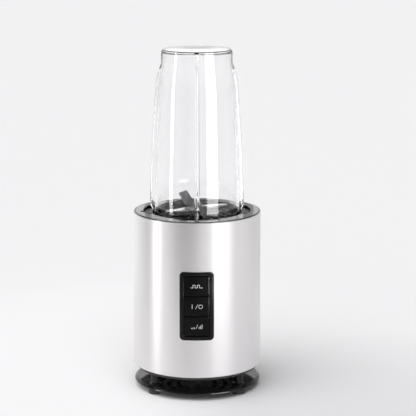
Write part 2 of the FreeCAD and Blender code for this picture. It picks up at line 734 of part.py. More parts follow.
# ---- every node ---------------------------------------------------------------------------------
NODES = {
    "rubber_feet": rubber_feet,
    "base_plate": base_plate,
    "base_posts": base_posts,
    "base_screws": base_screws,
    "bottom_cover": bottom_cover,
    "housing_sleeve": housing_sleeve,
    "inner_chassis": inner_chassis,
    "air_baffle": air_baffle,
    "cord_grommet": cord_grommet,
    "collar_ring": collar_ring,
    "collar_screws": collar_screws,
    "well_seal": well_seal,
    "interlock_plunger": interlock_plunger,
    "interlock_spring": interlock_spring,
    "microswitch": microswitch,
    "control_bezel": control_bezel,
    "pulse_button": lambda: control_key(0),
    "power_button": lambda: control_key(1),
    "speed_button": lambda: control_key(2),
    "control_board": control_board,
    "board_screws": board_screws,
    "tact_switches": tact_switches,
    "stator_core": stator_core,
    "field_coils": field_coils,
    "lower_bracket": lower_bracket,
    "upper_bracket": upper_bracket,
    "lower_bearing": lambda: ball_bearing(47.4),
    "upper_bearing": lambda: ball_bearing(112.0),
    "bracket_bolts": bracket_bolts,
    "motor_dampers": motor_dampers,
    "damper_screws": damper_screws,
    "brush_holders": brush_holders,
    "carbon_brushes": carbon_brushes,
    "brush_springs": brush_springs,
    "motor_shaft": motor_shaft,
    "armature_core": armature_core,
    "armature_windings": armature_windings,
    "commutator": commutator,
    "cooling_fan": cooling_fan,
    "drive_coupling": drive_coupling,
    "blade_holder": blade_holder,
    "bearing_bush": bearing_bush,
    "bush_circlip": bush_circlip,
    "driven_coupling": driven_coupling,
    "thrust_washer": thrust_washer,
    "blade_shaft": blade_shaft,
    "shaft_seal": shaft_seal,
    "blade_spacer": blade_spacer,
    "lower_blade": lower_blade,
    "upper_blade": upper_blade,
    "blade_nut": blade_nut,
    "cup_gasket": cup_gasket,
    "cup": cup,
}

for name, make in NODES.items():
    save(name, make())
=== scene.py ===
import json
import math

import bmesh
import bpy
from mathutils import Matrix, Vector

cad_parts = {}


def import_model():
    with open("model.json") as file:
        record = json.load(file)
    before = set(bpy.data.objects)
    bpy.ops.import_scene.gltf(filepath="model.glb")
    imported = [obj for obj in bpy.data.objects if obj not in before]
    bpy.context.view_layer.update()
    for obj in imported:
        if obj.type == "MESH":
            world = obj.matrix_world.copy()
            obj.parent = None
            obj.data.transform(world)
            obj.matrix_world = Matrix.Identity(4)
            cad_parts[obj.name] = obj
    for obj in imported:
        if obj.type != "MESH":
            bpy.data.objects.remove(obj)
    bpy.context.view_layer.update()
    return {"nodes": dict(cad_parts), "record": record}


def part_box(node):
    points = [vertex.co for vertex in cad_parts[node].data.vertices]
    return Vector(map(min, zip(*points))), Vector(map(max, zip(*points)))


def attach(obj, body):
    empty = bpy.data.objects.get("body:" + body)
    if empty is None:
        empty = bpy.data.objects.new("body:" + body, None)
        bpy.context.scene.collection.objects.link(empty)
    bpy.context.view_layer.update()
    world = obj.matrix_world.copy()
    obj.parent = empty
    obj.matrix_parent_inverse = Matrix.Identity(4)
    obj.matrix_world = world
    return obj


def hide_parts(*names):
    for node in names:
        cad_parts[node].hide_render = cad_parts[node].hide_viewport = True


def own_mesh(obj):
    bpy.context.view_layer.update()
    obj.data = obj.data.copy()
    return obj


# The looks of a countertop personal blender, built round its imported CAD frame.
# Profiles below are in millimetres, like the design, and are scaled to metres when a mesh is made.

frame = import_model()

MM = 0.001


def node_box(node):
    """The lowest and highest corner of a CAD node, in millimetres."""
    low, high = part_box(node)
    return [c / MM for c in low], [c / MM for c in high]


def middle_height(node):
    low, high = node_box(node)
    return (low[2] + high[2]) / 2


# ---- sizes read from the frame ------------------------------------------------------------------
SLEEVE_LOW, SLEEVE_HIGH = node_box("housing_sleeve")
HOUSING_BOTTOM, HOUSING_TOP = SLEEVE_LOW[2], SLEEVE_HIGH[2]
HOUSING_R_BOTTOM = SLEEVE_HIGH[0]
HOUSING_R_TOP = HOUSING_R_BOTTOM - 0.5
SLEEVE_WALL = 1.2
BASE_LOW, BASE_HIGH = node_box("base_plate")
CUP_LOW, CUP_HIGH = node_box("cup")
HOLDER_LOW, HOLDER_HIGH = node_box("blade_holder")
BEZEL_LOW, BEZEL_HIGH = node_box("control_bezel")
PANEL_Z = middle_height("control_bezel")
PANEL_WIDTH = BEZEL_HIGH[0] - BEZEL_LOW[0]
PANEL_HEIGHT = BEZEL_HIGH[2] - BEZEL_LOW[2]
PANEL_FRONT_R = -BEZEL_LOW[1]
BEZEL_RIM = 3.6
KEY_GAP = 0.4
KEY_FRONT_R = PANEL_FRONT_R - 0.4
BLADE_PLANE = node_box("lower_blade")[0][2]
BLADE_THICKNESS = 1.5
LOWER_BLADE_ANGLE = 30.0
UPPER_BLADE_ANGLE = 132.0

QUARTERS = (0, 90, 180, 270)
WELL_R = 46.0
POCKET_R = 50.6
POCKET_HALF_ANGLE = 25.0
LEDGE_BOTTOM = HOUSING_TOP - 1.4
CHANNEL_FLOOR = 161.9
DECK_TOP = 127.0
LUG_HALF_ANGLE = 22.0
THREAD_PITCH = 3.2
THREAD_LEAD = 4 * THREAD_PITCH
THREAD_FADE = 1.5
FIN_WIDTH = 4.4
FIN_ROOT_R = 39.0
CUP_WALL = 2.3


# ---- mesh helpers -------------------------------------------------------------------------------
def smooth(mesh, sharp):
    """Smooth shading that breaks at edges sharper than an angle."""
    mesh.shade_smooth()
    mesh.set_sharp_from_angle(angle=math.radians(sharp))


def rework(mesh, change, sharp=35.0):
    """Makes a change to a mesh, turns its faces outward and smooths it."""
    form = bmesh.new()
    form.from_mesh(mesh)
    change(form)
    bmesh.ops.recalc_face_normals(form, faces=form.faces)
    form.to_mesh(mesh)
    form.free()
    smooth(mesh, sharp)


def make_object(name, points, faces, sharp=35.0):
    """An object from points in millimetres, with repeated points joined."""
    mesh = bpy.data.meshes.new(name)
    mesh.from_pydata([[c * MM for c in p] for p in points], [], faces)
    rework(mesh, lambda form: bmesh.ops.remove_doubles(form, verts=form.verts, dist=2e-6), sharp)
    made = bpy.data.objects.new(name, mesh)
    bpy.context.scene.collection.objects.link(made)
    weights = made.modifiers.new("normals", "WEIGHTED_NORMAL")
    weights.keep_sharp = True
    return made


def polar(radius, angle, z):
    """A point at a radius from the axis, at an angle in degrees from +X."""
    return (radius * math.cos(math.radians(angle)), radius * math.sin(math.radians(angle)), z)


def turned_grid(name, columns, profile_of, closed=True, skip=None, sharp=35.0):
    """A body whose outline at each angle is profile_of(angle), a list of (radius, height)."""
    outlines = [profile_of(a) for a in columns]
    rows = len(outlines[0])
    points = [polar(r, a, z) for a, outline in zip(columns, outlines) for r, z in outline]
    faces = []
    for i in range(len(columns)):
        j = (i + 1) % len(columns)
        for k in range(rows if closed else rows - 1):
            m = (k + 1) % rows
            if skip is None or not skip(i, k):
                faces.append((i * rows + k, j * rows + k, j * rows + m, i * rows + m))
    return make_object(name, points, faces, sharp)


def band(first, count):
    """The faces between two closed loops of count points, the second straight after the first."""
    following = [(k + 1) % count for k in range(count)]
    return [(first + k, first + m, first + count + m, first + count + k) for k, m in enumerate(following)]


def even_angles(count):
    return [i * 360.0 / count for i in range(count)]


def merged_angles(*lists):
    """All the angles, brought into 0..360, in order, with near repeats dropped."""
    found = sorted(a % 360.0 for angles in lists for a in angles)
    kept = []
    for a in found:
        if not kept or a - kept[-1] > 0.02:
            kept.append(a)
    return kept


def rounded(corners, steps=4):
    """A closed outline of (radius, height, fillet) corners, with each corner turned into an arc."""
    path = []
    count = len(corners)
    for i, (r, z, fillet) in enumerate(corners):
        before, after = corners[i - 1], corners[(i + 1) % count]
        if fillet <= 0:
            path.append((r, z))
            continue
        a = (before[0] - r, before[1] - z)
        b = (after[0] - r, after[1] - z)
        la, lb = math.hypot(*a), math.hypot(*b)
        if min(la, lb) < 1e-6:
            path += [(r, z)] * (steps + 1)
            continue
        ua, ub = (a[0] / la, a[1] / la), (b[0] / lb, b[1] / lb)
        half = math.acos(max(-1.0, min(1.0, ua[0] * ub[0] + ua[1] * ub[1]))) / 2
        reach = min(fillet / math.tan(half), 0.49 * la, 0.49 * lb)
        for s in range(steps + 1):
            t = s / steps
            # a quadratic curve through the corner's two tangent points
            wa, wc, wb = (1 - t) ** 2, 2 * t * (1 - t), t * t
            pa = (r + ua[0] * reach, z + ua[1] * reach)
            pb = (r + ub[0] * reach, z + ub[1] * reach)
            path.append((wa * pa[0] + wc * r + wb * pb[0], wa * pa[1] + wc * z + wb * pb[1]))
    return path


def ease(t):
    t = max(0.0, min(1.0, t))
    return t * t * (3 - 2 * t)


def through(points, z):
    """The radius at a height, on a smooth curve of Hermite spans through (height, radius) points."""
    if z <= points[0][0]:
        return points[0][1]
    if z >= points[-1][0]:
        return points[-1][1]
    slopes = []
    for i in range(len(points)):
        low, high = points[max(i - 1, 0)], points[min(i + 1, len(points) - 1)]
        slopes.append((high[1] - low[1]) / (high[0] - low[0]))
    for i in range(len(points) - 1):
        (z0, r0), (z1, r1) = points[i], points[i + 1]
        if z <= z1:
            h = z1 - z0
            t = (z - z0) / h
            return (
                (2 * t**3 - 3 * t**2 + 1) * r0 + (t**3 - 2 * t**2 + t) * h * slopes[i]
                + (-2 * t**3 + 3 * t**2) * r1 + (t**3 - t**2) * h * slopes[i + 1]
            )


def off_axis(angle, middle):
    """The signed angle from a middle direction, in -180..180."""
    return (angle - middle + 180.0) % 360.0 - 180.0


def nearest_quarter(angle):
    """The signed angle from the nearest of the four axes."""
    return (angle + 45.0) % 90.0 - 45.0


def ridge_height(angle, z, phase, low, high, height):
    """The thread's ridges on a wall: soft-sided, one every pitch, and climbing with the angle."""
    flat_half, side = 0.4, 0.4
    along = ((z - phase - THREAD_LEAD * angle / 360.0) / THREAD_PITCH + 0.5) % 1.0 - 0.5
    across = abs(along) * THREAD_PITCH
    fade = ease((z - low) / THREAD_FADE) * ease((high - z) / THREAD_FADE)
    return height * fade * (1 - ease((across - flat_half) / side))


def spread(start, end, step):
    """Even steps from start up to, but without, the end."""
    count = max(1, round(abs(end - start) / step))
    return [start + (end - start) * i / count for i in range(count)]


# ---- materials ----------------------------------------------------------------------------------
def new_material(name, color, metallic=0.0, roughness=0.5, **sockets):
    """A Principled material with its constant sockets set; returns the material, its tree and shader."""
    material = bpy.data.materials.new(name)
    material.use_nodes = True
    tree = material.node_tree
    shader = tree.nodes["Principled BSDF"]
    shader.inputs["Base Color"].default_value = (*color, 1.0)
    shader.inputs["Metallic"].default_value = metallic
    shader.inputs["Roughness"].default_value = roughness
    for socket, value in sockets.items():
        shader.inputs[socket.replace("_", " ")].default_value = value
    return material, tree, shader


def coordinates(tree, stretch=(1.0, 1.0, 1.0)):
    """Object coordinates in metres, scaled along each axis."""
    where = tree.nodes.new("ShaderNodeTexCoord")
    mapping = tree.nodes.new("ShaderNodeMapping")
    mapping.inputs["Scale"].default_value = stretch
    tree.links.new(where.outputs["Object"], mapping.inputs["Vector"])
    return mapping.outputs["Vector"]


def noise(tree, vector, scale, detail=3.0, rough=0.55):
    node = tree.nodes.new("ShaderNodeTexNoise")
    node.inputs["Scale"].default_value = scale
    node.inputs["Detail"].default_value = detail
    node.inputs["Roughness"].default_value = rough
    tree.links.new(vector, node.inputs["Vector"])
    return node.outputs["Fac"]


def ranged(tree, value, low, high, start=0.3, end=0.7):
    """A factor mapped to a range."""
    node = tree.nodes.new("ShaderNodeMapRange")
    node.inputs["From Min"].default_value = start
    node.inputs["From Max"].default_value = end
    node.inputs["To Min"].default_value = low
    node.inputs["To Max"].default_value = high
    tree.links.new(value, node.inputs["Value"])
    return node.outputs["Result"]


def tinted(tree, shader, value, first, second):
    """The base colour runs between two colours with a factor."""
    node = tree.nodes.new("ShaderNodeMix")
    node.data_type = "RGBA"
    node.inputs["A"].default_value = (*first, 1.0)
    node.inputs["B"].default_value = (*second, 1.0)
    tree.links.new(value, node.inputs["Factor"])
    tree.links.new(node.outputs["Result"], shader.inputs["Base Color"])


def bumped(tree, shader, value, strength, distance):
    node = tree.nodes.new("ShaderNodeBump")
    node.inputs["Strength"].default_value = strength
    node.inputs["Distance"].default_value = distance
    tree.links.new(value, node.inputs["Height"])
    tree.links.new(node.outputs["Normal"], shader.inputs["Normal"])


def plastic(name, color, low, high, grain, strength, **sockets):
    """A moulded plastic or rubber: smudged roughness and a fine surface grain."""
    material, tree, shader = new_material(name, color, 0.0, (low + high) / 2, **sockets)
    vector = coordinates(tree)
    patches = noise(tree, vector, 38.0, 4.0)
    tree.links.new(ranged(tree, patches, low, high), shader.inputs["Roughness"])
    lighter = tuple(min(1.0, c * 1.4 + 0.0008) for c in color)
    tinted(tree, shader, ranged(tree, patches, 0.0, 0.6), color, lighter)
    bumped(tree, shader, noise(tree, vector, grain, 2.0), strength, 0.00004)
    return material


def polished_black(name, color, low, high, sheen):
    """A polished black moulding with hardly any grain. The sheen is its specular level."""
    return plastic(name, color, low, high, 900.0, 0.02, Specular_IOR_Level=sheen)


def metal(name, color, low, high, stretch, strength):
    """A metal with fine grain. Where the stretch differs between the axes, the grain is drawn out."""
    material, tree, shader = new_material(name, color, 1.0, (low + high) / 2)
    vector = coordinates(tree, stretch)
    lines = noise(tree, vector, 60.0, 5.0, 0.65)
    tree.links.new(ranged(tree, lines, low, high), shader.inputs["Roughness"])
    darker = tuple(c * 0.86 for c in color)
    tinted(tree, shader, ranged(tree, lines, 0.0, 1.0), darker, color)
    bumped(tree, shader, lines, strength, 0.00003)
    return material


def brushed_silver():
    """The sleeve: satin metal finished round its axis, so highlights run up and down it."""
    material, tree, shader = new_material(
        "satin_silver", (0.80, 0.785, 0.79), 1.0, 0.38, Anisotropic=0.7, Anisotropic_Rotation=0.25
    )
    vector = coordinates(tree, (1.0, 1.0, 22.0))
    lines = noise(tree, vector, 70.0, 5.0, 0.65)
    tree.links.new(ranged(tree, lines, 0.36, 0.40), shader.inputs["Roughness"])
    tinted(tree, shader, ranged(tree, lines, 0.0, 1.0), (0.785, 0.77, 0.775), (0.81, 0.795, 0.80))
    round_axis = tree.nodes.new("ShaderNodeTangent")
    round_axis.direction_type = "RADIAL"
    round_axis.axis = "Z"
    tree.links.new(round_axis.outputs["Tangent"], shader.inputs["Tangent"])
    bumped(tree, shader, lines, 0.03, 0.00002)
    return material


def clear_plastic():
    """The cup: clear, polished, with the faintest wipe marks."""
    material, tree, shader = new_material(
        "clear_cup", (0.985, 0.988, 0.99), 0.0, 0.02, Transmission_Weight=1.0, IOR=1.41
    )
    marks = noise(tree, coordinates(tree, (1.0, 1.0, 0.25)), 45.0, 4.0)
    tree.links.new(ranged(tree, marks, 0.0, 0.03), shader.inputs["Roughness"])
    return material


def laminated(name, color):
    """Stacked laminations or windings: fine, nearly even stripes."""
    material, tree, shader = new_material(name, color, 0.7, 0.45)
    wave = tree.nodes.new("ShaderNodeTexWave")
    wave.bands_direction = "Z"
    wave.inputs["Scale"].default_value = 320.0
    wave.inputs["Distortion"].default_value = 0.4
    tree.links.new(coordinates(tree), wave.inputs["Vector"])
    darker = tuple(c * 0.55 for c in color)
    tinted(tree, shader, wave.outputs["Fac"], darker, color)
    bumped(tree, shader, wave.outputs["Fac"], 0.4, 0.0001)
    return material


BLACK = (0.004, 0.004, 0.0042)
DEEP_BLACK = (0.0015, 0.0015, 0.0017)

MATERIALS = {
    "satin_silver": brushed_silver(),
    "gloss_black": polished_black("gloss_black", BLACK, 0.05, 0.11, 0.3),
    "ring_black": polished_black("ring_black", BLACK, 0.05, 0.11, 0.75),
    "key_black": polished_black("key_black", DEEP_BLACK, 0.07, 0.14, 0.12),
    "panel_black": polished_black("panel_black", DEEP_BLACK, 0.05, 0.11, 0.22),
    "satin_black": plastic("satin_black", (0.018, 0.018, 0.019), 0.22, 0.34, 1800.0, 0.12),
    "moulded_black": plastic("moulded_black", (0.03, 0.03, 0.032), 0.42, 0.58, 1500.0, 0.35),
    "foot_rubber": plastic("foot_rubber", (0.022, 0.022, 0.023), 0.5, 0.7, 1100.0, 0.4),
    "white_nylon": plastic("white_nylon", (0.72, 0.72, 0.69), 0.35, 0.5, 1200.0, 0.15),
    "seal_silicone": plastic("seal_silicone", (0.62, 0.62, 0.6), 0.3, 0.45, 900.0, 0.1),
    "circuit_green": plastic("circuit_green", (0.02, 0.13, 0.05), 0.25, 0.4, 500.0, 0.2),
    "carbon": plastic("carbon", (0.03, 0.03, 0.032), 0.5, 0.7, 2500.0, 0.4),
    "icon_print": plastic("icon_print", (0.5, 0.5, 0.495), 0.35, 0.5, 1500.0, 0.05),
    # The two blade steels are one steel in shaded and lit copies: the bent blade's copy is darkened as
    # painted shade, and the flat blade's copy is brightened as a painted highlight.
    "blade_steel": metal("blade_steel", (0.26, 0.26, 0.27), 0.16, 0.30, (4.0, 60.0, 4.0), 0.12),
    "painted_highlight_steel": metal("painted_highlight_steel", (0.85, 0.85, 0.86), 0.16, 0.30, (4.0, 60.0, 4.0), 0.12),
    "zinc_steel": metal("zinc_steel", (0.62, 0.62, 0.60), 0.28, 0.42, (20.0, 20.0, 20.0), 0.1),
    "bright_steel": metal("bright_steel", (0.70, 0.70, 0.71), 0.16, 0.28, (8.0, 8.0, 90.0), 0.06),
    "spring_steel": metal("spring_steel", (0.42, 0.42, 0.44), 0.3, 0.42, (20.0, 20.0, 20.0), 0.1),
    "cast_aluminium": metal("cast_aluminium", (0.60, 0.60, 0.61), 0.45, 0.6, (25.0, 25.0, 25.0), 0.5),
    "brass": metal("brass", (0.74, 0.56, 0.26), 0.25, 0.38, (10.0, 10.0, 60.0), 0.08),
    "lamination_steel": laminated("lamination_steel", (0.24, 0.24, 0.26)),
    "copper_enamel": laminated("copper_enamel", (0.66, 0.27, 0.12)),
    "clear_tritan": clear_plastic(),
}


def dress(piece, material):
    """Gives a piece one of the materials above."""
    piece.data.materials.clear()
    piece.data.materials.append(MATERIALS[material])


def dress_frame():
    """Every carried-over CAD node gets its own slot's material and smooth shading."""
    slots = {s["node"]: s["material_slot"] for s in frame["record"]["subparts"]}
    for node, piece in frame["nodes"].items():
        dress(piece, slots[node])
        smooth(piece.data, 30.0)


def stands_for(piece, node, body, slot, material=None):
    """A finished piece takes a CAD node's place. Its material is the slot's, unless another is named."""
    dress(piece, material or slot)
    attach(piece, body)
    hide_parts(node)
    return piece


# ---- the housing --------------------------------------------------------------------------------
def housing_sleeve():
    """The silver sleeve with its panel window and cord hole."""
    window_inset, cord_hole_r, opening_r, upper_level = 2.0, 5.8, 54.5, 145.0
    cord_z = middle_height("cord_grommet")
    window_half = math.degrees(math.asin((PANEL_WIDTH / 2 - window_inset) / HOUSING_R_TOP))
    window_z = (PANEL_Z - PANEL_HEIGHT / 2 + window_inset, PANEL_Z + PANEL_HEIGHT / 2 - window_inset)
    cord_half = math.degrees(math.asin(cord_hole_r / HOUSING_R_TOP))
    cord_hole_z = (cord_z - cord_hole_r, cord_z + cord_hole_r)
    levels = [*cord_hole_z, *window_z, upper_level]

    def wall_r(z):
        share = (z - HOUSING_BOTTOM) / (HOUSING_TOP - HOUSING_BOTTOM)
        return HOUSING_R_BOTTOM + (HOUSING_R_TOP - HOUSING_R_BOTTOM) * share

    lip_top = HOUSING_BOTTOM + 1.5
    corners = [(opening_r, HOUSING_BOTTOM, 0.3), (HOUSING_R_BOTTOM, HOUSING_BOTTOM, 0.7)]
    corners += [(wall_r(z), z, 0) for z in levels]
    corners += [(HOUSING_R_TOP, HOUSING_TOP, 0.5), (HOUSING_R_TOP - SLEEVE_WALL, HOUSING_TOP, 0.25)]
    corners += [(wall_r(z) - SLEEVE_WALL, z, 0) for z in reversed(levels)]
    corners += [(HOUSING_R_BOTTOM - SLEEVE_WALL, lip_top, 0.4), (opening_r, lip_top, 0.3)]
    outline = rounded(corners)
    # which rows of the outline stand at each level: one of the outer wall, then one of the inner
    row_of = {}
    for k, (_, z) in enumerate(outline):
        for level in levels:
            if abs(z - level) < 1e-6:
                row_of.setdefault(level, []).append(k)
    front, back = 270, 90
    edges = [front - window_half, front + window_half, back - cord_half, back + cord_half]
    columns = merged_angles(even_angles(180), edges)
    # grid columns that would fall very near a hole's edge are dropped, so that its faces stay even
    columns = [a for a in columns if a in edges or min(abs(a - e) for e in edges) > 0.4]

    def in_hole(i, k):
        past_column = columns[i] + 0.1
        for half, middle, span in ((window_half, front, window_z), (cord_half, back, cord_hole_z)):
            if abs(off_axis(past_column, middle)) < half:
                low_out, low_in = row_of[span[0]]
                high_out, high_in = row_of[span[1]]
                if low_out <= k < high_out or high_in <= k < low_in:
                    return True
        return False

    def bridge_holes(form):
        """Joins the outer wall to the inner one round the window, then round the cord hole."""
        rims = [e for e in form.edges if len(e.link_faces) == 1]
        bmesh.ops.bridge_loops(form, edges=[e for e in rims if e.verts[0].co.y < 0])
        bmesh.ops.bridge_loops(form, edges=[e for e in form.edges if len(e.link_faces) == 1])

    sleeve = turned_grid("sleeve", columns, lambda angle: outline, skip=in_hole)
    rework(sleeve.data, bridge_holes)
    return stands_for(sleeve, "housing_sleeve", "root", "satin_silver")


def collar_ring():
    """The glossy collar: flat top, four lug pockets, the lug channel and the well wall."""
    top = HOUSING_TOP + 0.4
    skirt_out, skirt_in, skirt_low = 58.4, 56.6, 158.2
    channel_out, channel_under, ledge_under = 54.6, 158.9, LEDGE_BOTTOM - 0.1
    tube_out, flange_out, flange_top = 47.6, 52.0, 129.5
    slot_middle, slot_half, slot_r = 189.0, 2.9, 53.4
    soft = 0.9

    def inner_r(angle):
        """The radius of the top opening: the well, or out to a pocket's wall."""
        beyond = abs(nearest_quarter(angle)) - POCKET_HALF_ANGLE
        return POCKET_R + (WELL_R - POCKET_R) * ease(beyond / soft + 0.5)

    def slot_share(angle):
        """How far an angle is inside the slot that the interlock plunger stands in: 1 inside, 0 outside."""
        beyond = abs(off_axis(angle, slot_middle)) - slot_half
        return 1 - ease(beyond / soft + 0.5)

    def profile(angle):
        opening = inner_r(angle)
        share = slot_share(angle)
        rim = opening + (slot_r - opening) * share
        wall = POCKET_R + (slot_r - POCKET_R) * share
        return rounded([
            (skirt_out, skirt_low, 0), (skirt_out, top, 0.9), (rim, top, 0.5), (rim, LEDGE_BOTTOM, 0.25),
            (wall + 0.01, LEDGE_BOTTOM, 0), (wall + 0.01, CHANNEL_FLOOR, 0.3), (WELL_R, CHANNEL_FLOOR, 0.4),
            (WELL_R, DECK_TOP, 0), (flange_out, DECK_TOP, 0), (flange_out, flange_top, 0),
            (tube_out, flange_top, 0), (tube_out, channel_under, 0), (channel_out, channel_under, 0),
            (channel_out, ledge_under, 0), (skirt_in, ledge_under, 0), (skirt_in, skirt_low, 0),
        ])

    ends = [q + s * (POCKET_HALF_ANGLE + d) for q in QUARTERS for s in (-1, 1)
            for d in (-0.5, -0.3, -0.15, 0.0, 0.15, 0.3, 0.5)]
    slot_ends = [slot_middle + s * (slot_half + d) for s in (-1, 1) for d in (-0.5, -0.25, 0.0, 0.25, 0.5)]
    columns = merged_angles(even_angles(144), ends, slot_ends)
    ring = turned_grid("collar", columns, profile, sharp=40.0)
    return stands_for(ring, "collar_ring", "root", "gloss_black", "ring_black")


def base_disc():
    """The glossy disc under the housing, with a soft rounded edge."""
    low, high = BASE_LOW[2], BASE_HIGH[2]
    reach = BASE_HIGH[0]
    corners = [
        (0, low, 0), (reach - 1.6, low, 0.8), (reach, low + 1.5, 0.9), (reach - 0.3, low + 2.5, 0.8),
        (57.4, high, 0.5), (55.8, high, 0), (30.0, high, 0), (0, high, 0),
    ]
    outline = rounded(corners, 6)
    disc = turned_grid("base_disc", even_angles(192), lambda angle: outline, closed=False, sharp=40.0)
    return stands_for(disc, "base_plate", "root", "gloss_black")


def cord_gland():
    """The rubber cord inlet at the back, a stepped collar with an open bore."""
    middle = middle_height("cord_grommet")
    end = node_box("cord_grommet")[1][1]
    corners = [
        (3.4, 50.0, 0.3), (7.6, 50.0, 0.4), (7.6, 55.0, 0.2), (5.9, 55.9, 0), (5.9, 60.6, 0),
        (8.2, 60.6, 0.3), (8.2, 61.6, 0.5), (7.0, end, 0.5), (4.6, end, 0.3), (3.4, 61.3, 0.4),
    ]
    outline = rounded(corners)

    def lay_along_y(form):
        for vertex in form.verts:
            x, y, z = vertex.co
            vertex.co = (x, z, -y + middle * MM)

    gland = turned_grid("cord_gland", even_angles(64), lambda angle: outline)
    rework(gland.data, lay_along_y)
    return stands_for(gland, "cord_grommet", "root", "foot_rubber")


# ---- the control panel --------------------------------------------------------------------------
def rounded_rectangle(width, height, corner, steps=7):
    """The (x, z) points of a rounded rectangle about its middle, counter-clockwise."""
    points = []
    for cx, cz, start in ((1, 1, 0), (-1, 1, 90), (-1, -1, 180), (1, -1, 270)):
        for s in range(steps + 1):
            a = math.radians(start + 90.0 * s / steps)
            x = cx * (width / 2 - corner) + corner * math.cos(a)
            z = cz * (height / 2 - corner) + corner * math.sin(a)
            points.append((x, z))
        if start in (0, 180):
            # the level edges need points of their own, so that they follow the curved wall
            end, spans = points[-1][0], 14
            points += [(end * (1 - 2 * k / spans), points[-1][1]) for k in range(1, spans)]
    return points


def on_wall(x, z, radius):
    """A point of the curved front wall at a radius from the axis."""
    return (x, -math.sqrt(radius * radius - x * x), z)


def loops_to_object(name, loops, fill_first=False, fill_last=False, sharp=40.0):
    """Bridges closed loops of equal length in order."""
    count = len(loops[0])
    points = [p for loop in loops for p in loop]
    faces = []
    for i in range(len(loops) - 1):
        faces += band(i * count, count)
    if fill_first:
        faces.append(tuple(range(count)))
    if fill_last:
        last = (len(loops) - 1) * count
        faces.append(tuple(range(last, last + count)))
    return make_object(name, points, faces, sharp)


def edge_steps(across, deep, steps=6):
    """(inset, drop) pairs round an elliptical quarter-turn edge, from the side to the face."""
    turns = [math.radians(90.0 * s / steps) for s in range(steps + 1)]
    return [(across * (1 - math.cos(t)), deep * (1 - math.sin(t))) for t in turns]


def panel_loop(width, height, corner, inset, radius, middle):
    """A rounded rectangle, made smaller by an inset and laid on the curved front at a radius."""
    shape = rounded_rectangle(width - 2 * inset, height - 2 * inset, max(0.2, corner - inset))
    return [on_wall(x, z + middle, radius) for x, z in shape]


def control_bezel():
    """The glossy frame round the keys, with a rolled outer edge and a crisp inner one."""
    outer_edge, inner_edge = 0.9, 0.45
    rim_back, wall_back, wall_inset, wall_corner = 60.35, 57.3, 2.2, 2.8
    width, height, corner = PANEL_WIDTH, PANEL_HEIGHT, 3.7
    hole_w, hole_h, hole_c = width - 2 * BEZEL_RIM, height - 2 * BEZEL_RIM, 2.2
    wall_w, wall_h = width - 2 * wall_inset, height - 2 * wall_inset
    loops = [panel_loop(width, height, corner, 0, rim_back, PANEL_Z)]
    for inset, drop in edge_steps(outer_edge, outer_edge):
        loops.append(panel_loop(width, height, corner, inset, PANEL_FRONT_R - drop, PANEL_Z))
    for inset, drop in reversed(edge_steps(inner_edge, inner_edge)):
        loops.append(panel_loop(hole_w, hole_h, hole_c, -inset, PANEL_FRONT_R - drop, PANEL_Z))
    loops.append(panel_loop(hole_w, hole_h, hole_c, 0, wall_back, PANEL_Z))
    loops.append(panel_loop(wall_w, wall_h, wall_corner, 0, wall_back, PANEL_Z))
    loops.append(panel_loop(wall_w, wall_h, wall_corner, 0, rim_back, PANEL_Z))
    loops.append(loops[0])
    bezel = loops_to_object("panel_bezel", loops)
    return stands_for(bezel, "control_bezel", "root", "gloss_black", "panel_black")


def key_cap(name, node, body):
    """One key: a curved cap whose edges are rolled back."""
    low, high = node_box(node)
    middle = middle_height(node)
    height = high[2] - low[2]
    width = PANEL_WIDTH - 2 * BEZEL_RIM - 2 * KEY_GAP
    corner, back, edge_across, edge_deep = 1.0, 57.2, 1.3, 0.5
    loops = [panel_loop(width, height, corner, 0, back, middle)]
    for inset, drop in edge_steps(edge_across, edge_deep):
        loops.append(panel_loop(width, height, corner, inset, KEY_FRONT_R - drop, middle))
    face_w, face_h = width - 2 * edge_across, height - 2 * edge_across
    for share in (0.85, 0.65, 0.45, 0.25, 0.08):
        shape = rounded_rectangle(face_w * share, face_h * share, 0.2 * share)
        loops.append([on_wall(x, z + middle, KEY_FRONT_R) for x, z in shape])
    cap = loops_to_object(name, loops, fill_first=True, fill_last=True)
    return stands_for(cap, node, body, "key_black")


def icon_strip(points, width, closed=False):
    """The outline quads of a line drawn through (x, z) points."""
    quads = []
    overrun = 0.3
    count = len(points)
    for i in range(count if closed else count - 1):
        (x0, z0), (x1, z1) = points[i], points[(i + 1) % count]
        length = math.hypot(x1 - x0, z1 - z0)
        nx, nz = -(z1 - z0) / length * width / 2, (x1 - x0) / length * width / 2
        ex, ez = (x1 - x0) / length * width * overrun, (z1 - z0) / length * width * overrun
        quads.append([(x0 - ex + nx, z0 - ez + nz), (x1 + ex + nx, z1 + ez + nz),
                      (x1 + ex - nx, z1 + ez - nz), (x0 - ex - nx, z0 - ez - nz)])
    return quads


def icon(name, quads, node, body):
    """A printed sign on a key: thin raised ink that follows the curved face."""
    middle = middle_height(node)
    sunk, raised = 0.02, 0.05
    points, faces = [], []
    for quad in quads:
        first = len(points)
        count = len(quad)
        points += [on_wall(x, z + middle, KEY_FRONT_R - sunk) for x, z in quad]
        points += [on_wall(x, z + middle, KEY_FRONT_R + raised) for x, z in quad]
        faces.append(tuple(range(first + count, first + 2 * count)))
        faces.append(tuple(range(first, first + count)))
        faces += band(first, count)
    sign = make_object(name, points, faces)
    dress(sign, "icon_print")
    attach(sign, body)


def circle_points(radius, steps, middle):
    """The (x, z) points of a circle, a distance to the right of a sign's middle."""
    turns = [math.radians(360.0 * i / steps) for i in range(steps)]
    return [(middle + radius * math.cos(t), radius * math.sin(t)) for t in turns]


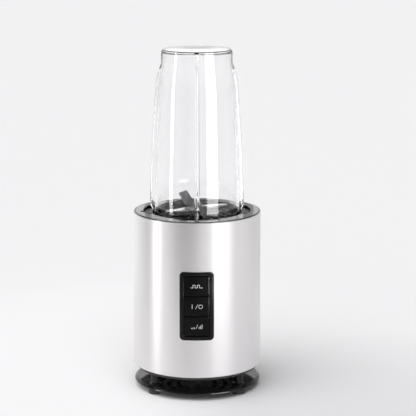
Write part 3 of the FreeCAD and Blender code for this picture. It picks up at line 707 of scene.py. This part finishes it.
def key_icons():
    """Generic signs: a pulse wave, an on/off pair, and a low and a high level."""
    wave = icon_strip([(-5.4, -1.2), (-3.4, -1.2), (-3.4, 1.4), (-1.4, 1.4), (-1.4, -1.2), (0.6, -1.2),
                       (0.6, 1.4), (2.6, 1.4), (2.6, -1.2), (5.4, -1.2)], 0.48)
    icon("icon_pulse", wave, "pulse_button", "pulse_key")
    power = icon_strip([(-4.2, -1.9), (-4.2, 1.9)], 0.5)
    power += icon_strip([(-1.0, -1.9), (1.0, 1.9)], 0.42)
    power += icon_strip(circle_points(1.75, 28, 3.6), 0.48, closed=True)
    icon("icon_power", power, "power_button", "power_key")
    bars = []
    for i, x in enumerate((-4.8, -3.5, -2.2)):
        bars += icon_strip([(x, -1.9), (x, -1.3 + 0.35 * i)], 0.6)
    bars += icon_strip([(-0.7, -1.9), (0.9, 1.9)], 0.42)
    for i, x in enumerate((2.2, 3.5, 4.8)):
        bars += icon_strip([(x, -1.9), (x, -0.2 + 1.0 * i)], 0.6)
    icon("icon_speed", bars, "speed_button", "speed_key")


# ---- the interlock ------------------------------------------------------------------------------
def interlock_coil():
    """The plunger's return spring, drawn as a fixed coil; the real one is pressed shorter as the jar turns
    to its locked place.
    """
    low, high = node_box("interlock_spring")
    middle = [(a + b) / 2 for a, b in zip(low, high)]
    wire_r, turns, steps, sides, stroke = 0.25, 6, 24, 8, 2.5
    coil_r = (high[0] - low[0]) / 2 - wire_r
    height = high[2] - low[2]
    points, faces = [], []
    for i in range(turns * steps + 1):
        turn = math.radians(360.0 * i / steps)
        z = low[2] + wire_r + (height - 2 * wire_r) * i / (turns * steps)
        for k in range(sides):
            round_wire = math.radians(360.0 * k / sides)
            r = coil_r + wire_r * math.cos(round_wire)
            points.append((middle[0] + r * math.cos(turn), middle[1] + r * math.sin(turn),
                           z + wire_r * math.sin(round_wire)))
    for i in range(turns * steps):
        faces += band(i * sides, sides)
    last = turns * steps * sides
    faces += [tuple(range(sides)), tuple(range(last, last + sides))]
    coil = make_object("interlock_coil", points, faces)
    stands_for(coil, "interlock_spring", "root", "spring_steel")
    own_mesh(coil)


# ---- the jar ------------------------------------------------------------------------------------
# The cup's plain wall and the crests of its four fins, as (height, radius).
WALL_LINE = [
    (144.0, 40.0), (167.0, 40.0), (190.0, 39.6), (217.5, 38.7), (246.0, 37.75), (274.5, 36.7),
    (285.0, 36.0), (295.0, 34.95), (303.0, 33.75), (310.0, 32.7), (314.0, 32.15), (318.0, 32.0),
    (322.0, 32.0),
]
FIN_LINE = [
    (166.5, 39.8), (170.0, 41.6), (174.2, 43.75), (176.0, 44.1), (184.0, 44.1), (217.5, 43.2),
    (236.5, 42.1), (255.5, 40.8), (274.5, 39.55), (290.0, 38.2), (300.0, 36.4), (309.0, 33.0),
]


def fin_share(across):
    """How much of the fin's reach stands at a distance from its middle: a full rounded rib."""
    half = FIN_WIDTH / 2
    if across >= half:
        return 0.0
    return math.sqrt(1 - (across / half) ** 2)


def cup_outer_r(angle, z):
    """The cup's outer surface: tapered wall, four fins, thread by the mouth."""
    wall = through(WALL_LINE, z)
    thread_low, thread_high, thread_height = 146.2, 165.3, 1.4
    radius = wall + ridge_height(angle, z, 0.0, thread_low, thread_high, thread_height)
    reach = through(FIN_LINE, z) - wall
    if z > FIN_LINE[0][0] and reach > 0:
        across = abs(math.radians(nearest_quarter(angle))) * FIN_ROOT_R
        radius += reach * fin_share(across)
    return radius


def cup():
    """The inverted clear cup."""
    top = CUP_HIGH[2]
    mouth = CUP_LOW[2]
    inner_top_r, inner_corner = 29.7, 1.9
    outer_levels = (spread(mouth + 0.6, 146.0, 0.7) + spread(146.0, 166.0, 0.32)
                    + spread(166.0, 178.0, 0.4) + spread(178.0, 282.0, 2.0) + spread(282.0, top - 1.2, 1.2))
    inner_levels = list(reversed(spread(mouth + 0.6, 280.0, 2.0) + spread(280.0, 316.5, 1.8)))

    def profile(angle):
        points = [(38.1, mouth), (39.6, mouth), (39.9, mouth + 0.25)]
        points += [(cup_outer_r(angle, z), z) for z in outer_levels]
        points += [(32.0, top - 1.1), (31.85, top - 0.5), (31.45, top - 0.12), (30.8, top)]
        points += [(24.0, top), (16.0, top - 0.15), (8.0, top - 0.25), (0.0, top - 0.3)]
        points += [(0.0, top - 2.4), (12.0, top - 2.4), (22.0, top - 2.35), (27.6, top - 2.3)]
        for t in (0.4, 0.8, 1.2):
            inward, down = inner_corner * (1 - math.sin(t)), inner_corner * (1 - math.cos(t))
            points.append((inner_top_r - inward, top - CUP_WALL - down))
        points += [(inner_top_r, top - 4.2)]
        points += [(through(WALL_LINE, z) - CUP_WALL, z) for z in inner_levels]
        points += [(37.75, mouth + 0.2)]
        return points

    half = FIN_WIDTH / 2
    offsets = [math.degrees(half * math.sin(math.radians(9.0 * i)) / FIN_ROOT_R) for i in range(11)]
    offsets += [math.degrees((half + d) / FIN_ROOT_R) for d in (0.12, 0.4, 0.9)]
    near_fins = [q + s * d for q in QUARTERS for s in (-1, 1) for d in offsets]
    between_fins = [a for a in even_angles(144) if abs(nearest_quarter(a)) > 1.25 * offsets[-1]]
    columns = merged_angles(between_fins, near_fins)
    made = turned_grid("cup_shell", columns, profile, sharp=60.0)
    return stands_for(made, "cup", "cup", "clear_tritan")


def blade_holder():
    """The holder: lugs and grip flutes outside, thread inside, and the boss that carries the blades."""
    low, high = HOLDER_LOW[2], HOLDER_HIGH[2]
    outer_r, bore_r, floor_z, boss_top = 45.6, 42.0, 141.0, 159.8
    lug_r, lug_low, lug_high = POCKET_R - 0.4, 162.2, LEDGE_BOTTOM - 0.3
    bush_r, bush_low, seat_r, under_z, skirt_r = 6.05, 145.5, 15.5, 137.5, 42.6
    flute_pitch, flute_deep = 15.0, 0.6
    thread_low, thread_end, ridge, fine_end = 151.0, 165.0, 1.5, 165.5
    levels = spread(floor_z + 0.8, thread_low, 1.5) + spread(thread_low, fine_end, 0.42)
    levels = [167.0, fine_end] + levels[::-1]

    def profile(angle):
        beyond = abs(nearest_quarter(angle)) - LUG_HALF_ANGLE
        lug = outer_r + (lug_r - outer_r) * (1 - ease(beyond / 0.8 + 0.5))
        from_flute = abs((angle + flute_pitch / 2) % flute_pitch - flute_pitch / 2)
        grip = outer_r - flute_deep * (1 - ease((from_flute - 0.7) / 0.8))
        outside = rounded([
            (skirt_r, low, 0.3), (grip, low, 0.5), (grip, 157.4, 0), (outer_r, 158.6, 0),
            (outer_r, lug_low, 0.1), (lug, lug_low, 0.5), (lug, lug_high, 0.7), (outer_r, lug_high, 0.1),
            (outer_r, high, 0.6), (bore_r, high, 0.6),
        ], 3)
        inside = [
            (bore_r - ridge_height(angle, z, THREAD_PITCH / 2, thread_low, thread_end, ridge), z)
            for z in levels
        ]
        below = rounded([
            (bore_r, floor_z, 0.6), (20.5, floor_z, 1.2), (16.9, 148.4, 0.8), (10.8, 149.6, 0.8),
            (9.6, boss_top, 0.5), (bush_r, boss_top, 0), (bush_r, bush_low, 0), (seat_r, bush_low, 0),
            (seat_r, under_z, 0.3), (skirt_r, under_z, 0.3),
        ], 3)
        return outside + inside + below

    ends = [q + s * (LUG_HALF_ANGLE + d) for q in QUARTERS for s in (-1, 1)
            for d in (-0.4, -0.2, 0.0, 0.2, 0.4)]
    flutes = [flute_pitch * i + d for i in range(24) for d in (-1.5, -1.1, -0.7, 0.0, 0.7, 1.1, 1.5)]
    columns = merged_angles(even_angles(120), ends, flutes)
    made = turned_grid("holder_body", columns, profile, sharp=40.0)
    return stands_for(made, "blade_holder", "holder", "satin_black")


# ---- the blades ---------------------------------------------------------------------------------
def blade_arm(outline, bevels, base, thickness, bend=None):
    """One arm of a blade from its plan outline along +X, ground back by each point's bevel.

    bend is (x, slope): the metal turns up or down there.
    """
    centre = [sum(p[0] for p in outline) / len(outline), sum(p[1] for p in outline) / len(outline)]
    count = len(outline)
    top = []
    for i, (x, y) in enumerate(outline):
        grind = bevels[i]
        dx, dy = centre[0] - x, centre[1] - y
        length = math.hypot(dx, dy)
        top.append((x + dx / length * grind, y + dy / length * grind))

    def placed(x, y, height):
        if bend is None or x <= bend[0]:
            return (x, y, base + height)
        run = x - bend[0]
        slope = bend[1]
        return (
            bend[0] + run * math.cos(slope) - height * math.sin(slope), y,
            base + height * math.cos(slope) + run * math.sin(slope),
        )

    # a ground edge keeps this share of the thickness, and a plain one all but a fine bevel
    ground, plain, least_grind = 0.35, 0.92, 0.3
    low = [placed(x, y, 0.0) for x, y in outline]
    land = [
        placed(x, y, thickness * (ground if bevels[i] > least_grind else plain))
        for i, (x, y) in enumerate(outline)
    ]
    high = [placed(x, y, thickness) for x, y in top]
    points = low + land + high
    faces = [tuple(range(count)), tuple(range(2 * count, 3 * count))]
    return points, faces + band(0, count) + band(count, count)


def turned_points(points, angle):
    """The points turned about Z."""
    c, s = math.cos(math.radians(angle)), math.sin(math.radians(angle))
    return [(x * c - y * s, x * s + y * c, z) for x, y, z in points]


def blade(name, arms, hub_r, base, thickness, node, angle, surface):
    """A blade: its arms, each turned to its place, and the flat hub between them, in one steel."""
    points, faces = [], []
    for arm_points, arm_faces, turn in arms:
        first = len(points)
        points += turned_points(arm_points, angle + turn)
        faces += [tuple(first + k for k in f) for f in arm_faces]
    first = len(points)
    steps, lift = 40, 0.01
    ring = [polar(hub_r, a, 0) for a in even_angles(steps)]
    for z in (base + lift, base + thickness + lift):
        points += [(x, y, z) for x, y, _ in ring]
    faces += [tuple(range(first, first + steps)), tuple(range(first + steps, first + 2 * steps))]
    faces += band(first, steps)
    made = make_object(name, points, faces, sharp=25.0)
    return stands_for(made, node, "blades", "blade_steel", surface)


def blades():
    """The flat blade, and the bent one on top of it with one arm up and one down."""
    leaf = [(0.0, -6.4), (7.0, -6.2), (13.0, -5.6), (23.0, -3.4), (32.4, -1.2), (33.2, -0.2), (32.8, 1.0),
            (27.0, 3.4), (20.0, 5.2), (10.0, 6.3), (0.0, 6.4)]
    grind = [0.1, 0.1, 0.8, 1.9, 1.0, 0.4, 0.15, 0.15, 0.15, 0.1, 0.1]
    arm = blade_arm(leaf, grind, BLADE_PLANE, BLADE_THICKNESS)
    # the flat blade wears the steel brightened as a painted highlight
    blade("blade_flat", [(*arm, 0), (*arm, 180)], 7.4, BLADE_PLANE, BLADE_THICKNESS,
          "lower_blade", LOWER_BLADE_ANGLE, "painted_highlight_steel")
    base = BLADE_PLANE + BLADE_THICKNESS

    def paddle(bend, reach, rise):
        """A bent arm: its plan outline laid flat, then folded at the bend."""
        end = bend + math.hypot(reach - bend, rise)
        line = [(0.0, -6.4), (bend, -5.9), (bend + 0.02, -5.9), (end - 0.3, -5.1), (end - 0.8, -0.8),
                (end - 1.3, 3.4), (end - 1.8, 4.7), (end - 3.0, 5.3), (bend + 0.02, 5.9), (bend, 5.9),
                (0.0, 6.4)]
        edge = [0.05, 0.1, 0.1, 0.25, 0.6, 0.7, 0.6, 0.3, 0.1, 0.1, 0.05]
        return blade_arm(line, edge, base, BLADE_THICKNESS, (bend, math.atan2(rise, reach - bend)))

    up, down = paddle(9.5, 22.2, 12.4), paddle(8.5, 14.4, -9.6)
    # the bent blade wears the steel darkened as painted shade
    blade("blade_bent", [(*up, 0), (*down, 180)], 6.6, base, BLADE_THICKNESS,
          "upper_blade", UPPER_BLADE_ANGLE, "blade_steel")


# ---- the studio ---------------------------------------------------------------------------------
def floor():
    """A wide pale floor that also fills the background, with painted shade darkening its colour a little
    towards the front right.
    """
    bpy.ops.mesh.primitive_plane_add(size=60.0, location=(0, 0, 0))
    ground = bpy.context.object
    ground.name = "studio_floor"
    material, tree, shader = new_material("studio_floor", (0.84, 0.835, 0.845), 0.0, 0.7)
    shader.inputs["Specular IOR Level"].default_value = 0.2
    where = tree.nodes.new("ShaderNodeTexCoord")
    axes = tree.nodes.new("ShaderNodeSeparateXYZ")
    tree.links.new(where.outputs["Object"], axes.inputs["Vector"])
    # painted shade: the floor's colour is mixed darker towards the front right, where a soft shadow falls
    painted_shade_right = ranged(tree, axes.outputs["X"], 0.0, 1.0, -0.04, 0.05)
    painted_shade_front = ranged(tree, axes.outputs["Y"], 1.0, 0.0, -0.10, 0.18)
    corner = tree.nodes.new("ShaderNodeMath")
    corner.operation = "MULTIPLY"
    tree.links.new(painted_shade_right, corner.inputs[0])
    tree.links.new(painted_shade_front, corner.inputs[1])
    tinted(tree, shader, corner.outputs["Value"], (0.85, 0.843, 0.855), (0.69, 0.683, 0.70))
    ground.data.materials.append(material)


# How bright the studio is at each angle from the camera's side, right positive.
SURROUNDINGS = [
    (-180, 1.1), (-155, 1.1), (-138, 1.0), (-115, 0.92), (-92, 0.65), (-82, 0.5), (-64, 0.5), (-57, 0.85),
    (-48, 0.95), (-36, 0.52), (-17, 0.40), (-4, 0.52), (5, 0.85), (14, 1.05), (26, 0.8), (52, 0.5),
    (64, 0.9), (81, 0.95), (110, 0.72), (135, 0.70), (160, 0.75), (180, 1.1),
]

# Radii of the studio's upright walls, one inside another, in millimetres.
DRUM_R = 400.0
BACK_LIGHT_R = 393.0
RIM_R, SHADE_R, CORE_R, MIRRORED_R, FAINT_R = 388.0, 389.0, 390.0, 391.0, 392.0

# Their lowest and highest points.
DRUM_Z = (0.0, 340.0)
BACK_LIGHT_Z = (160.0, 330.0)
SATIN_BOX_Z = (1.0, 210.0)
MIRRORED_BOX_Z = (1.0, 420.0)
FAINT_BOX_Z = (92.0, 420.0)


def curved_wall(name, radius, heights, start, end):
    """A piece of upright wall round the object, between two angles from the camera's side.

    Only reflections and refractions show it: the camera, shadows and rough surfaces do not.
    """
    steps = 96
    angles = [start + (end - start) * i / steps - 90.0 for i in range(steps + 1)]
    points = [polar(radius, a, z) for z in heights for a in angles]
    count = len(angles)
    faces = [(i, i + 1, count + i + 1, count + i) for i in range(steps)]
    wall = make_object(name, points, faces)
    wall.visible_camera = False
    wall.visible_diffuse = False
    wall.visible_shadow = False
    return wall


def glowing(name, level, see_through=False):
    """An emission material, its tree and its emission node.

    A see-through one adds its light to what is behind it.
    """
    material = bpy.data.materials.new(name)
    material.use_nodes = True
    tree = material.node_tree
    tree.nodes.remove(tree.nodes["Principled BSDF"])
    glow = tree.nodes.new("ShaderNodeEmission")
    glow.inputs["Strength"].default_value = level
    surface = tree.nodes["Material Output"].inputs["Surface"]
    if see_through:
        both = tree.nodes.new("ShaderNodeAddShader")
        tree.links.new(glow.outputs["Emission"], both.inputs[0])
        tree.links.new(tree.nodes.new("ShaderNodeBsdfTransparent").outputs["BSDF"], both.inputs[1])
        tree.links.new(both.outputs["Shader"], surface)
    else:
        tree.links.new(glow.outputs["Emission"], surface)
    return material, tree, glow


def surroundings():
    """Grey cards round the object, as one drum that only reflections show, dimmer towards its top."""
    drum = curved_wall("studio_drum", DRUM_R, DRUM_Z, -180.0, 180.0)
    peak = max(level for _, level in SURROUNDINGS)
    material, tree, glow = glowing("studio_drum", peak)
    where = tree.nodes.new("ShaderNodeTexCoord")
    turn = tree.nodes.new("ShaderNodeMapping")
    turn.inputs["Rotation"].default_value = (0, 0, math.radians(90))
    angle = tree.nodes.new("ShaderNodeTexGradient")
    angle.gradient_type = "RADIAL"
    ramp = tree.nodes.new("ShaderNodeValToRGB")
    stops = ramp.color_ramp.elements
    while len(stops) > 1:
        stops.remove(stops[-1])
    for i, (azimuth, level) in enumerate(SURROUNDINGS):
        at = (azimuth + 180) / 360
        stop = stops[0] if i == 0 else stops.new(at)
        stop.position = at
        stop.color = (level / peak, level / peak, level / peak, 1)
    tree.links.new(where.outputs["Object"], turn.inputs["Vector"])
    tree.links.new(turn.outputs["Vector"], angle.inputs["Vector"])
    tree.links.new(angle.outputs["Fac"], ramp.inputs["Fac"])
    tree.links.new(ramp.outputs["Color"], glow.inputs["Color"])
    axes = tree.nodes.new("ShaderNodeSeparateXYZ")
    tree.links.new(where.outputs["Object"], axes.inputs["Vector"])
    strength = ranged(tree, axes.outputs["Z"], peak * 1.1, peak * 0.5, 0.17, 0.27)
    tree.links.new(strength, glow.inputs["Strength"])
    drum.data.materials.append(material)
    drum.visible_transmission = False


def lit_group(name, pieces, only):
    """A light-linking group that holds some pieces alone, or everything but those pieces."""
    group = bpy.data.collections.new(name)
    for piece in pieces:
        group.objects.link(piece)
    if not only:
        for member in group.collection_objects:
            member.light_linking.link_state = "EXCLUDE"
    return group


def soft_box(name, start, end, level, polished_level, polished):
    """A soft box between two angles, as layers that each piece sees by its surface.

    Satin pieces see a low box whose three layers add up to its level and leave it dimmer at the sides.
    Polished pieces mirror a tall even one, and clear walls show a faint one behind them.
    """
    satin_group = lit_group(name + "_satin", polished, False)
    polished_group = lit_group(name + "_polished", polished, True)
    layers = [
        ("rim", RIM_R, SATIN_BOX_Z, 5.0, level * 0.3, satin_group),
        ("shade", SHADE_R, SATIN_BOX_Z, 2.0, level * 0.3, satin_group),
        ("core", CORE_R, SATIN_BOX_Z, -1.5, level * 0.4, satin_group),
        ("mirrored", MIRRORED_R, MIRRORED_BOX_Z, 0.0, polished_level, polished_group),
        ("faint", FAINT_R, FAINT_BOX_Z, 0.0, level * 0.25, None),
    ]
    for part, radius, heights, wider, strength, group in layers:
        box = curved_wall(name + "_" + part, radius, heights, start - wider, end + wider)
        material, _, _ = glowing(name + "_" + part, strength, group is not None)
        box.data.materials.append(material)
        if group:
            box.visible_transmission = False
            box.light_linking.receiver_collection = group
        else:
            box.visible_glossy = False


def back_light(name, start, end, level, pieces):
    """A dim panel behind the object that only a few pieces see, to brighten what they mirror."""
    panel = curved_wall(name, BACK_LIGHT_R, BACK_LIGHT_Z, start, end)
    material, _, _ = glowing(name, level, True)
    panel.data.materials.append(material)
    panel.light_linking.receiver_collection = lit_group(name + "_pieces", pieces, True)


def sky_light():
    """A very soft light from above and a little to the left of the camera, even over the floor."""
    lamp = bpy.data.lights.new("sky_light", "SUN")
    lamp.energy = 3.1
    lamp.angle = math.radians(80)
    holder = bpy.data.objects.new("sky_light", lamp)
    holder.rotation_euler = (math.radians(32), 0, math.radians(-35))
    holder.visible_glossy = False
    bpy.context.scene.collection.objects.link(holder)


def world():
    """Dim grey surroundings overhead, lighter towards the horizon."""
    made = bpy.data.worlds.new("studio")
    made.use_nodes = True
    tree = made.node_tree
    back = tree.nodes["Background"]
    where = tree.nodes.new("ShaderNodeTexCoord")
    axes = tree.nodes.new("ShaderNodeSeparateXYZ")
    tree.links.new(where.outputs["Generated"], axes.inputs["Vector"])
    level = ranged(tree, axes.outputs["Z"], 1.2, 0.04, 0.23, 0.42)
    overhead = ranged(tree, axes.outputs["Z"], 0.0, 0.4, 0.86, 0.93)
    both = tree.nodes.new("ShaderNodeMath")
    both.operation = "ADD"
    tree.links.new(level, both.inputs[0])
    tree.links.new(overhead, both.inputs[1])
    tree.links.new(both.outputs["Value"], back.inputs["Color"])
    back.inputs["Strength"].default_value = 1.0
    bpy.context.scene.world = made


def camera():
    """The viewing angle: a long lens a metre and a half away, a little above the housing."""
    lens = bpy.data.cameras.new("camera")
    lens.sensor_width = 36.0
    lens.lens = 138.86
    eye = bpy.data.objects.new("camera", lens)
    eye.location = (0.01035, -1.4855, HOUSING_TOP * MM + 0.3079)
    eye.rotation_euler = (math.radians(90.0 - 11.64), 0, 0)
    bpy.context.scene.collection.objects.link(eye)
    bpy.context.scene.camera = eye


dress_frame()
housing_sleeve()
polished = [collar_ring(), base_disc(), control_bezel()]
cord_gland()
polished += [key_cap("key_" + key, key + "_button", key + "_key") for key in ("pulse", "power", "speed")]
key_icons()
interlock_coil()
polished.append(cup())
blade_holder()
blades()
floor()
surroundings()
soft_box("box_left", -76, -66, 2.6, 15.5, polished)
soft_box("box_right", 26, 57, 1.5, 14.5, polished)
back_light("back_left", -170.5, -140, 0.75, polished[:1])
back_light("back_right", 140, 170.5, 0.75, polished[:1])
sky_light()
world()
camera()
bpy.context.scene.view_settings.view_transform = "Standard"
